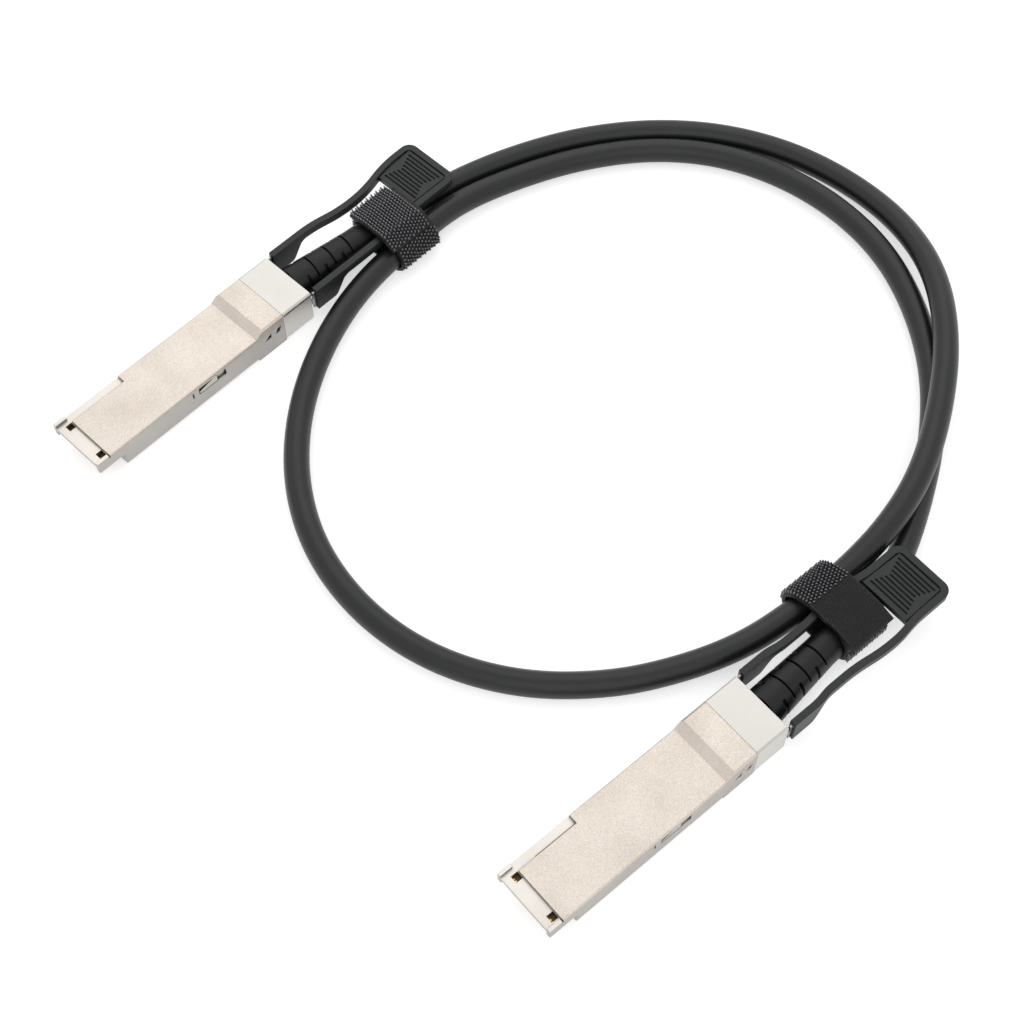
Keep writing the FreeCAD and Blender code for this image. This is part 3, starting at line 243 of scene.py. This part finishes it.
def tapeMesh(name, points, closed, thickness, inside, cuts):
    # a strip of tape: the path drawn out to the tape's width, then given its thickness inwards
    work = bmesh.new()
    verts = [work.verts.new(point) for point in points]
    edges = [work.edges.new((a, b)) for a, b in zip(verts, verts[1:])]
    if closed:
        edges.append(work.edges.new((verts[-1], verts[0])))
    grown = bmesh.ops.extrude_edge_only(work, edges=edges)["geom"]
    moved = [item for item in grown if isinstance(item, bmesh.types.BMVert)]
    bmesh.ops.translate(work, verts=moved, vec=(strapSettings["width"] * mm, 0, 0))
    wide = [edge for edge in work.edges if abs(edge.verts[0].co.x - edge.verts[1].co.x) > mm]
    bmesh.ops.subdivide_edges(work, edges=wide, cuts=cuts, use_grid_fill=True)
    bmesh.ops.recalc_face_normals(work, faces=work.faces[:])
    work.faces.ensure_lookup_table()
    face = work.faces[0]
    spot = face.calc_center_median()
    if face.normal.dot(Vector((0, spot.y - inside.y, spot.z - inside.z))) < 0:
        bmesh.ops.reverse_faces(work, faces=work.faces[:])
    bmesh.ops.solidify(work, geom=work.faces[:], thickness=thickness)
    bmesh.ops.recalc_face_normals(work, faces=work.faces[:])
    mesh = bpy.data.meshes.new(name)
    work.to_mesh(mesh)
    work.free()
    return mesh


def hookRow():
    # one row of moulded hooks across the tape: stalks that lean and narrow, each second one set back
    s = strapSettings
    work = bmesh.new()
    bmesh.ops.create_cube(work, size=1.0)
    tall = s["hookTall"] * mm
    bmesh.ops.scale(work, verts=work.verts[:], vec=(s["hookWide"] * mm, s["hookLong"] * mm, tall))
    bmesh.ops.translate(work, verts=work.verts[:], vec=(0, 0, tall / 2 - s["hookRoot"] * mm))
    upright = [edge for edge in work.edges if abs(edge.verts[0].co.z - edge.verts[1].co.z) > tall / 2]
    bmesh.ops.subdivide_edges(work, edges=upright, cuts=2, use_grid_fill=True)
    for vert in work.verts:
        rise = vert.co.z / tall
        vert.co.y = vert.co.y * (1 - s["hookShorten"] * rise) + s["hookBend"] * mm * rise * rise
        vert.co.x = vert.co.x * (1 - s["hookNarrow"] * rise)
    single = work.verts[:] + work.edges[:] + work.faces[:]
    count = round(s["width"] / s["hookPitchAcross"])
    step = s["width"] * mm / count
    for index in range(1, count):
        copied = bmesh.ops.duplicate(work, geom=single)["geom"]
        verts = [item for item in copied if isinstance(item, bmesh.types.BMVert)]
        back = (index % 2) * s["hookPitchAlong"] * mm / 2
        bmesh.ops.translate(work, verts=verts, vec=(index * step, back, 0))
    bmesh.ops.translate(work, verts=work.verts[:], vec=(step / 2, 0, 0))
    for face in work.faces:
        face.material_index = 1
    mesh = bpy.data.meshes.new("hookRow")
    work.to_mesh(mesh)
    work.free()
    return mesh


def addHooks(work, stations, row, shift, lean):
    # a row that leans the other way is turned half round, so it starts from the tape's far edge
    first = Vector((shift if lean > 0 else shift + strapSettings["width"] * mm, 0, 0))
    for place, out in stations:
        wide = Vector((lean, 0, 0))
        turn = Matrix((wide, out.cross(wide), out)).transposed().to_4x4()
        copy = row.copy()
        copy.transform(Matrix.Translation(first + place) @ turn)
        work.from_mesh(copy)
        bpy.data.meshes.remove(copy)


def strapMesh(tag):
    s = strapSettings
    side = plugs[tag]["side"]
    thick = s["thickness"] * mm
    inner = roundedPath(strapOutline(tag), s["round"] * mm, s["roundSteps"], True)
    inside = sum(inner, Vector()) / len(inner)
    outer = [place + out * thick for place, out in walkPath(inner, s["pathStep"] * mm, True, inside)]
    corners = [Vector((0, side * y, z)) * mm for y, z in s["flap"][tag]]
    flapTop = roundedPath(corners, s["round"] * mm, s["flapRoundSteps"], False)
    across = sorted(side * corner.y for corner in corners)
    lappedTo = across[-1] + s["hooksEnd"][tag] * mm
    row = hookRow()
    work = bmesh.new()
    band = tapeMesh("band", outer, True, thick, inside, s["widthCuts"])
    band.transform(Matrix.Translation((s["bandShift"][tag] * mm, 0, 0)))
    work.from_mesh(band)
    bare = [(place, out) for place, out in walkPath(outer, s["hookPitchAlong"] * mm, True, inside)
            if place.z > s["hooksLow"] * mm and out.z > s["hooksUnder"]
            and not (out.z > s["lappedFace"] and across[0] < side * place.y < lappedTo)]
    addHooks(work, bare, row, s["bandShift"][tag] * mm, s["hookLean"][tag])
    if tag == "b":
        # this end shows its woven back: raised stitches, set like bricks in a fine grid
        weave = [place for place, out in walkPath(flapTop, s["weavePitch"] * mm, False, inside)]
        flap = tapeMesh("flap", weave, False, thick, inside, round(s["width"] / s["weavePitch"]) - 1)
        raised = bmesh.new()
        raised.from_mesh(flap)
        for vert in [vert for vert in raised.verts if vert.normal.z > s["weaveFace"]]:
            away = [(vert.co.yz - place.yz).length for place in weave]
            course = away.index(min(away))
            stitch = round(vert.co.x / mm / s["weavePitch"]) + course // 2
            if course % 2 == 0 and stitch % 2:
                vert.co.z += s["weaveRelief"] * mm
        raised.to_mesh(flap)
        raised.free()
    else:
        flap = tapeMesh("flap", flapTop, False, thick, inside, s["widthCuts"])
    flap.transform(Matrix.Translation((s["flapShift"][tag] * mm, 0, 0)))
    work.from_mesh(flap)
    if tag == "a":
        upper = walkPath(flapTop, s["hookPitchAlong"] * mm, False, inside)
        addHooks(work, upper, row, s["flapShift"][tag] * mm, s["hookLean"][tag])
    mesh = bpy.data.meshes.new(f"strap_{tag}")
    work.to_mesh(mesh)
    work.free()
    mesh.transform(plugs[tag]["place"] @ Matrix.Translation((s["front"] * mm, 0, 0)))
    for spare in (band, flap, row):
        bpy.data.meshes.remove(spare)
    return mesh


straps = {}
for tag in ("a", "b"):
    straps[tag] = newPiece(f"hookStrap_{tag}", strapMesh(tag))
    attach(straps[tag], "cable_set")
    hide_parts(f"strap_{tag}")
    print("strap", tag, len(straps[tag].data.polygons), "faces")


def newMaterial(name, shaderValues):
    # a material with the shader's plain values set; patterns follow the object's own coordinates in metres
    material = bpy.data.materials.new(name)
    material.use_nodes = True
    tree = material.node_tree
    shader = tree.nodes["Principled BSDF"]
    for socket, value in shaderValues.items():
        shader.inputs[socket].default_value = value
    place = addNode(tree, "ShaderNodeTexCoord")
    return material, tree, shader, place.outputs["Object"]


def mottled(tree, place, m):
    # clouds between the finish's low and high colours, each about m["cloud"] millimetres wide
    cloud = addNode(tree, "ShaderNodeTexNoise", {},
                    {"Vector": place, "Scale": 1 / (m["cloud"] * mm), "Detail": m.get("detail", 2.0)})
    colour = addNode(tree, "ShaderNodeMix", {"data_type": "RGBA"},
                     {0: cloud.outputs["Fac"], 6: toLinear(m["low"]), 7: toLinear(m["high"])})
    return colour.outputs[2]


def shadedCreases(tree, colour, m):
    # painted shade: the colour, darker where other faces stand within m["reach"] millimetres of it
    crease = addNode(tree, "ShaderNodeAmbientOcclusion", {"samples": 6}, {"Distance": m["reach"] * mm})
    depth = addNode(tree, "ShaderNodeMapRange", {},
                    {"Value": crease.outputs["AO"], "From Min": m["closed"], "From Max": m["clear"]})
    shade = addNode(tree, "ShaderNodeMix", {"data_type": "RGBA"},
                    {0: depth.outputs[0], 6: toLinear(m["shade"]), 7: colour})
    return shade.outputs[2]


# each finish has two colours and the size in mm of the clouds or lines between them, then its painted
# crease shade: its colour, its reach in mm, and how open a face is where it is full and where it ends
metalSettings = {
    # painted shade: each wall colour greys the upright walls of that finish
    "cover": {"low": "c0b5ab", "high": "e2d9cf", "cloud": 11.8, "detail": 4.0, "wall": "d6d7d8",
              "grain": 1 / 6, "specks": 1.3, "shade": "4a443d", "reach": 1.2, "closed": 0.1, "clear": 0.8},
    "shell": {"low": "cfc9c2", "high": "e6e1db", "cloud": 11.8, "detail": 4.0, "wall": "cccdcf",
              "grain": 1 / 6, "specks": 0.7, "shade": "2e2c2a", "reach": 1.2, "closed": 0.1, "clear": 0.8},
    "sheet": {"low": "c3c0bb", "high": "cecbc6", "cloud": 8.33, "detail": 3.0, "grain": 0.4,
              "shade": "55534f", "reach": 1.2, "closed": 0.1, "clear": 0.8},
    "spring": {"low": "a5a29e", "high": "c6c4c0", "lineLong": 16.7, "lineWide": 0.25,
               "shade": "1a1a1a", "reach": 1.2, "closed": 0.3, "clear": 1.0},
}


def nickelPlatedZinc(name, m):
    # satin nickel on a zinc die casting, with a grain of light specks about 0.17 mm across
    material, tree, shader, place = newMaterial(name, {"Metallic": 1.0, "Roughness": 0.42})
    specks = addNode(tree, "ShaderNodeTexNoise", {},
                     {"Vector": place, "Scale": 1 / (m["grain"] * mm), "Detail": 2.0})
    cloud = addNode(tree, "ShaderNodeTexNoise", {},
                    {"Vector": place, "Scale": 1 / (m["cloud"] * mm), "Detail": m["detail"]})
    sharp = addNode(tree, "ShaderNodeMapRange", {},
                    {"Value": specks.outputs["Fac"], "From Min": 0.3, "From Max": 0.7,
                     "To Min": -0.5 * m["specks"], "To Max": 0.5 * m["specks"]})
    mottle = addNode(tree, "ShaderNodeMath", {"operation": "ADD", "use_clamp": True},
                     {0: sharp.outputs[0], 1: cloud.outputs["Fac"]})
    colour = addNode(tree, "ShaderNodeMix", {"data_type": "RGBA"},
                     {0: mottle.outputs[0], 6: toLinear(m["low"]), 7: toLinear(m["high"])})
    shade = shadedCreases(tree, colour.outputs[2], m)
    # painted shade: the upright walls are drawn greyer and darker than the level faces
    facing = addNode(tree, "ShaderNodeSeparateXYZ", {}, {0: place.node.outputs["Normal"]})
    level = addNode(tree, "ShaderNodeMath", {"operation": "ABSOLUTE"}, {0: facing.outputs["Z"]})
    upright = addNode(tree, "ShaderNodeMapRange", {},
                      {"Value": level.outputs[0], "From Min": 0.2, "From Max": 0.6,
                       "To Min": 1.0, "To Max": 0.0})
    wallShadeMix = addNode(tree, "ShaderNodeMix", {"data_type": "RGBA", "blend_type": "MULTIPLY"},
                     {0: upright.outputs[0], 6: shade, 7: toLinear(m["wall"])})
    tree.links.new(wallShadeMix.outputs[2], shader.inputs["Base Color"])
    gloss = addNode(tree, "ShaderNodeMapRange", {},
                    {"Value": specks.outputs["Fac"], "To Min": 0.36, "To Max": 0.5})
    tree.links.new(gloss.outputs[0], shader.inputs["Roughness"])
    edge = addNode(tree, "ShaderNodeBevel", {"samples": 4}, {"Radius": 0.15 * mm})
    bump = addNode(tree, "ShaderNodeBump", {}, {"Height": specks.outputs["Fac"], "Strength": 0.2,
                                                "Distance": 0.05 * mm, "Normal": edge.outputs[0]})
    tree.links.new(bump.outputs[0], shader.inputs["Normal"])
    return material


def satinSteelSheet(m):
    # folded stainless sleeve: whiter and smoother than the casting, with faint clouding
    material, tree, shader, place = newMaterial("satinSteelSheet", {"Metallic": 1.0, "Roughness": 0.34})
    tree.links.new(shadedCreases(tree, mottled(tree, place, m), m), shader.inputs["Base Color"])
    edge = addNode(tree, "ShaderNodeBevel", {"samples": 4}, {"Radius": 0.2 * mm})
    fine = addNode(tree, "ShaderNodeTexNoise", {}, {"Vector": place, "Scale": 1 / (m["grain"] * mm)})
    bump = addNode(tree, "ShaderNodeBump", {}, {"Height": fine.outputs["Fac"], "Strength": 0.06,
                                                "Distance": 0.02 * mm, "Normal": edge.outputs[0]})
    tree.links.new(bump.outputs[0], shader.inputs["Normal"])
    return material


def rolledSpringSteel(m):
    # spring steel strip with fine rolling lines along the plug
    material, tree, shader, place = newMaterial("rolledSpringSteel", {"Metallic": 1.0, "Roughness": 0.28})
    along = 1 / (m["lineLong"] * mm)
    across = 1 / (m["lineWide"] * mm)
    stretch = addNode(tree, "ShaderNodeMapping", {}, {"Vector": place, "Scale": (along, across, across)})
    lines = addNode(tree, "ShaderNodeTexNoise", {}, {"Vector": stretch.outputs[0], "Scale": 1.0})
    colour = addNode(tree, "ShaderNodeMix", {"data_type": "RGBA"},
                     {0: lines.outputs["Fac"], 6: toLinear(m["low"]), 7: toLinear(m["high"])})
    # painted shade darkens the slider deep in its pockets, so the ports in the walls look dark
    tree.links.new(shadedCreases(tree, colour.outputs[2], m), shader.inputs["Base Color"])
    gloss = addNode(tree, "ShaderNodeMapRange", {},
                    {"Value": lines.outputs["Fac"], "To Min": 0.22, "To Max": 0.38})
    tree.links.new(gloss.outputs[0], shader.inputs["Roughness"])
    return material


# each soft finish's shade, reach, closed and clear set its painted crease shade; the jacket has none
softSettings = {
    "tab": {"low": "161819", "high": "1f2122", "cloud": 6.67, "detail": 3.0, "roughness": 0.46, "gloss": 0.5,
            "grain": 0.25, "shade": "020202", "reach": 0.8, "closed": 0.0, "clear": 1.0},
    "boot": {"low": "0b0c0c", "high": "131415", "cloud": 6.67, "detail": 3.0, "roughness": 0.4, "gloss": 0.38,
             "grain": 0.25, "shade": "020202", "reach": 0.8, "closed": 0.0, "clear": 1.0},
    "jacket": {"low": "131416", "high": "1b1c1f", "cloud": 11.1, "detail": 3.0, "roughness": 0.36,
               "grain": 0.556},
    "ground": {"low": "121212", "high": "222222", "cloud": 1.11, "roughness": 0.55, "gloss": 0.3,
               "shade": "010101", "reach": 0.7, "closed": 0.4, "clear": 0.95},
    # painted highlight: the hooks are drawn lighter than the nylon itself, for the glints that their tips
    # catch
    "hooks": {"low": "565659", "high": "84848a", "cloud": 1.11, "roughness": 0.25, "gloss": 0.6,
              "shade": "010101", "reach": 0.7, "closed": 0.4, "clear": 0.95},
}


def mouldedElastomer(name, m):
    # soft moulded elastomer: near-black, a spark-eroded mould texture drawn about 0.25 mm coarse
    material, tree, shader, place = newMaterial(name, {"Roughness": m["roughness"], "IOR": 1.46,
                                                       "Specular IOR Level": m["gloss"]})
    # painted shade darkens the creases and recesses
    tree.links.new(shadedCreases(tree, mottled(tree, place, m), m), shader.inputs["Base Color"])
    texture = addNode(tree, "ShaderNodeTexNoise", {},
                      {"Vector": place, "Scale": 1 / (m["grain"] * mm), "Detail": 2.0})
    edge = addNode(tree, "ShaderNodeBevel", {"samples": 4}, {"Radius": 0.3 * mm})
    bump = addNode(tree, "ShaderNodeBump", {}, {"Height": texture.outputs["Fac"], "Strength": 0.2,
                                                "Distance": 0.05 * mm, "Normal": edge.outputs[0]})
    tree.links.new(bump.outputs[0], shader.inputs["Normal"])
    rough = addNode(tree, "ShaderNodeMapRange", {},
                    {"Value": texture.outputs["Fac"], "To Min": m["roughness"] - 0.06,
                     "To Max": m["roughness"] + 0.08})
    tree.links.new(rough.outputs[0], shader.inputs["Roughness"])
    return material


def extrudedJacket(m):
    # extruded black jacket: smooth with a soft sheen and faint draw-down unevenness
    material, tree, shader, place = newMaterial("extrudedJacket", {"Roughness": m["roughness"], "IOR": 1.46})
    tree.links.new(mottled(tree, place, m), shader.inputs["Base Color"])
    fine = addNode(tree, "ShaderNodeTexNoise", {},
                   {"Vector": place, "Scale": 1 / (m["grain"] * mm), "Detail": 2.0})
    bump = addNode(tree, "ShaderNodeBump", {}, {"Height": fine.outputs["Fac"], "Strength": 0.12,
                                                "Distance": 0.05 * mm})
    tree.links.new(bump.outputs[0], shader.inputs["Normal"])
    gloss = addNode(tree, "ShaderNodeMapRange", {},
                    {"Value": fine.outputs["Fac"], "To Min": 0.3, "To Max": 0.44})
    tree.links.new(gloss.outputs[0], shader.inputs["Roughness"])
    return material


def blackNylon(name, m):
    # nylon tape: the woven ground is dull and near-black, its moulded hooks are glossier
    material, tree, shader, place = newMaterial(name, {"Roughness": m["roughness"], "IOR": 1.53,
                                                       "Specular IOR Level": m["gloss"]})
    # painted shade darkens the gaps between stitches and the roots of the hooks
    tree.links.new(shadedCreases(tree, mottled(tree, place, m), m), shader.inputs["Base Color"])
    return material


def plainGrain(m):
    # small inner parts: their own colour with a light mottling
    material, tree, shader, place = newMaterial(m["name"], m["shader"])
    tree.links.new(mottled(tree, place, m), shader.inputs["Base Color"])
    return material


innerSettings = {
    # the card's edge and back show as amber laminate through the small windows in the lip
    "paddle_card": {"name": "glassEpoxyLaminate", "low": "4c3a17", "high": "6d5524", "cloud": 1.67,
                    "shader": {"Roughness": 0.35, "IOR": 1.5}},
    "card_contacts": {"name": "hardGold", "low": "d9a441", "high": "f0c46a", "cloud": 1.11,
                      "shader": {"Metallic": 1.0, "Roughness": 0.25}},
    "solder_potting": {"name": "hotMelt", "low": "d8d2c2", "high": "e8e3d6", "cloud": 2.5,
                       "shader": {"Roughness": 0.5}},
    "wire_pairs": {"name": "pairFoil", "low": "b9bcc0", "high": "d9dbde", "cloud": 1.43,
                   "shader": {"Metallic": 1.0, "Roughness": 0.35}},
    "crimp_ferrule": {"name": "tinnedBrass", "low": "b59d6b", "high": "cbb88a", "cloud": 2.0,
                      "shader": {"Metallic": 1.0, "Roughness": 0.35}},
}
nodeMaterials = {name: plainGrain(m) for name, m in innerSettings.items()}
nodeMaterials["lower_shell"] = nickelPlatedZinc("nickelPlatedZinc", metalSettings["shell"])
nodeMaterials["top_cover"] = nickelPlatedZinc("grainedNickelPlatedZinc", metalSettings["cover"])
nodeMaterials["rear_collar"] = satinSteelSheet(metalSettings["sheet"])
nodeMaterials["latch_slider"] = rolledSpringSteel(metalSettings["spring"])
nodeMaterials["return_springs"] = nodeMaterials["latch_slider"]
nodeMaterials["pull_tab"] = mouldedElastomer("mouldedElastomer", softSettings["tab"])
nodeMaterials["strain_relief"] = mouldedElastomer("bootElastomer", softSettings["boot"])
for name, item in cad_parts.items():
    base = name.rsplit("_", 1)[0]
    if base in nodeMaterials:
        if not item.material_slots:
            item.data.materials.append(nodeMaterials[base])
        for slot in item.material_slots:
            slot.material = nodeMaterials[base]
cable.data.materials.append(extrudedJacket(softSettings["jacket"]))
ground = blackNylon("wovenNylon", softSettings["ground"])
hooks = blackNylon("mouldedHookNylon", softSettings["hooks"])
for tag in ("a", "b"):
    straps[tag].data.materials.append(ground)
    straps[tag].data.materials.append(hooks)
print("materials set")


studioSettings = {
    "floorGlow": 0.55, "floorColour": (0.82, 0.82, 0.82, 1), "floorHalf": 3.0,
    "floorDrop": 0.05 * mm,  # the table lies just under the object, so that their faces don't meet
    "worldLight": 0.7,
    "aim": (0.03, -0.09, 0.0),
    "lamps": [  # name, place, size, power in watts
        ("key", (0.52, 0.36, 0.95), 1.0, 2.0),
        ("fill", (-0.6, -0.7, 0.9), 1.0, 1.5),
    ],
}


def seenRays(tree):
    # 1 where the camera, a reflection or a see-through surface looks at the background, otherwise 0
    ray = addNode(tree, "ShaderNodeLightPath")
    two = addNode(tree, "ShaderNodeMath", {"operation": "MAXIMUM"},
                  {0: ray.outputs["Is Camera Ray"], 1: ray.outputs["Is Glossy Ray"]})
    return addNode(tree, "ShaderNodeMath", {"operation": "MAXIMUM"},
                   {0: two.outputs[0], 1: ray.outputs["Is Transmission Ray"]}).outputs[0]


def whiteTable():
    # matt white table: a little light of its own where it is seen, so only shadows show on it
    material = bpy.data.materials.new("mattWhiteTable")
    material.use_nodes = True
    tree = material.node_tree
    tree.nodes.clear()
    level = addNode(tree, "ShaderNodeMath", {"operation": "MULTIPLY"},
                    {0: seenRays(tree), 1: studioSettings["floorGlow"]})
    glow = addNode(tree, "ShaderNodeEmission", {}, {"Color": (1, 1, 1, 1), "Strength": level.outputs[0]})
    matt = addNode(tree, "ShaderNodeBsdfDiffuse", {}, {"Color": studioSettings["floorColour"]})
    both = addNode(tree, "ShaderNodeAddShader", {}, {0: glow.outputs[0], 1: matt.outputs[0]})
    addNode(tree, "ShaderNodeOutputMaterial", {}, {"Surface": both.outputs[0]})
    return material


work = bmesh.new()
bmesh.ops.create_grid(work, x_segments=1, y_segments=1, size=studioSettings["floorHalf"])
floorMesh = bpy.data.meshes.new("floor")
work.to_mesh(floorMesh)
work.free()
floorMesh.transform(Matrix.Translation((0, 0, -studioSettings["floorDrop"])))
floorMesh.materials.append(whiteTable())
floor = newPiece("floor", floorMesh)

for name, place, size, power in studioSettings["lamps"]:
    light = bpy.data.lights.new(name, "AREA")
    light.size = size
    light.energy = power
    lamp = newPiece(name, light)
    lamp.location = place
    aim = Vector(studioSettings["aim"]) - Vector(place)
    lamp.rotation_euler = aim.to_track_quat("-Z", "Y").to_euler()

world = bpy.data.worlds.new("studio")
bpy.context.scene.world = world
world.use_nodes = True
tree = world.node_tree
tree.nodes.clear()
strength = addNode(tree, "ShaderNodeMapRange", {}, {"Value": seenRays(tree),
                                                    "To Min": studioSettings["worldLight"], "To Max": 1.0})
sky = addNode(tree, "ShaderNodeBackground", {}, {"Color": (1, 1, 1, 1), "Strength": strength.outputs[0]})
addNode(tree, "ShaderNodeOutputWorld", {}, {"Surface": sky.outputs[0]})
bpy.context.scene.view_settings.view_transform = "Standard"
print("light set")

bpy.context.view_layer.update()
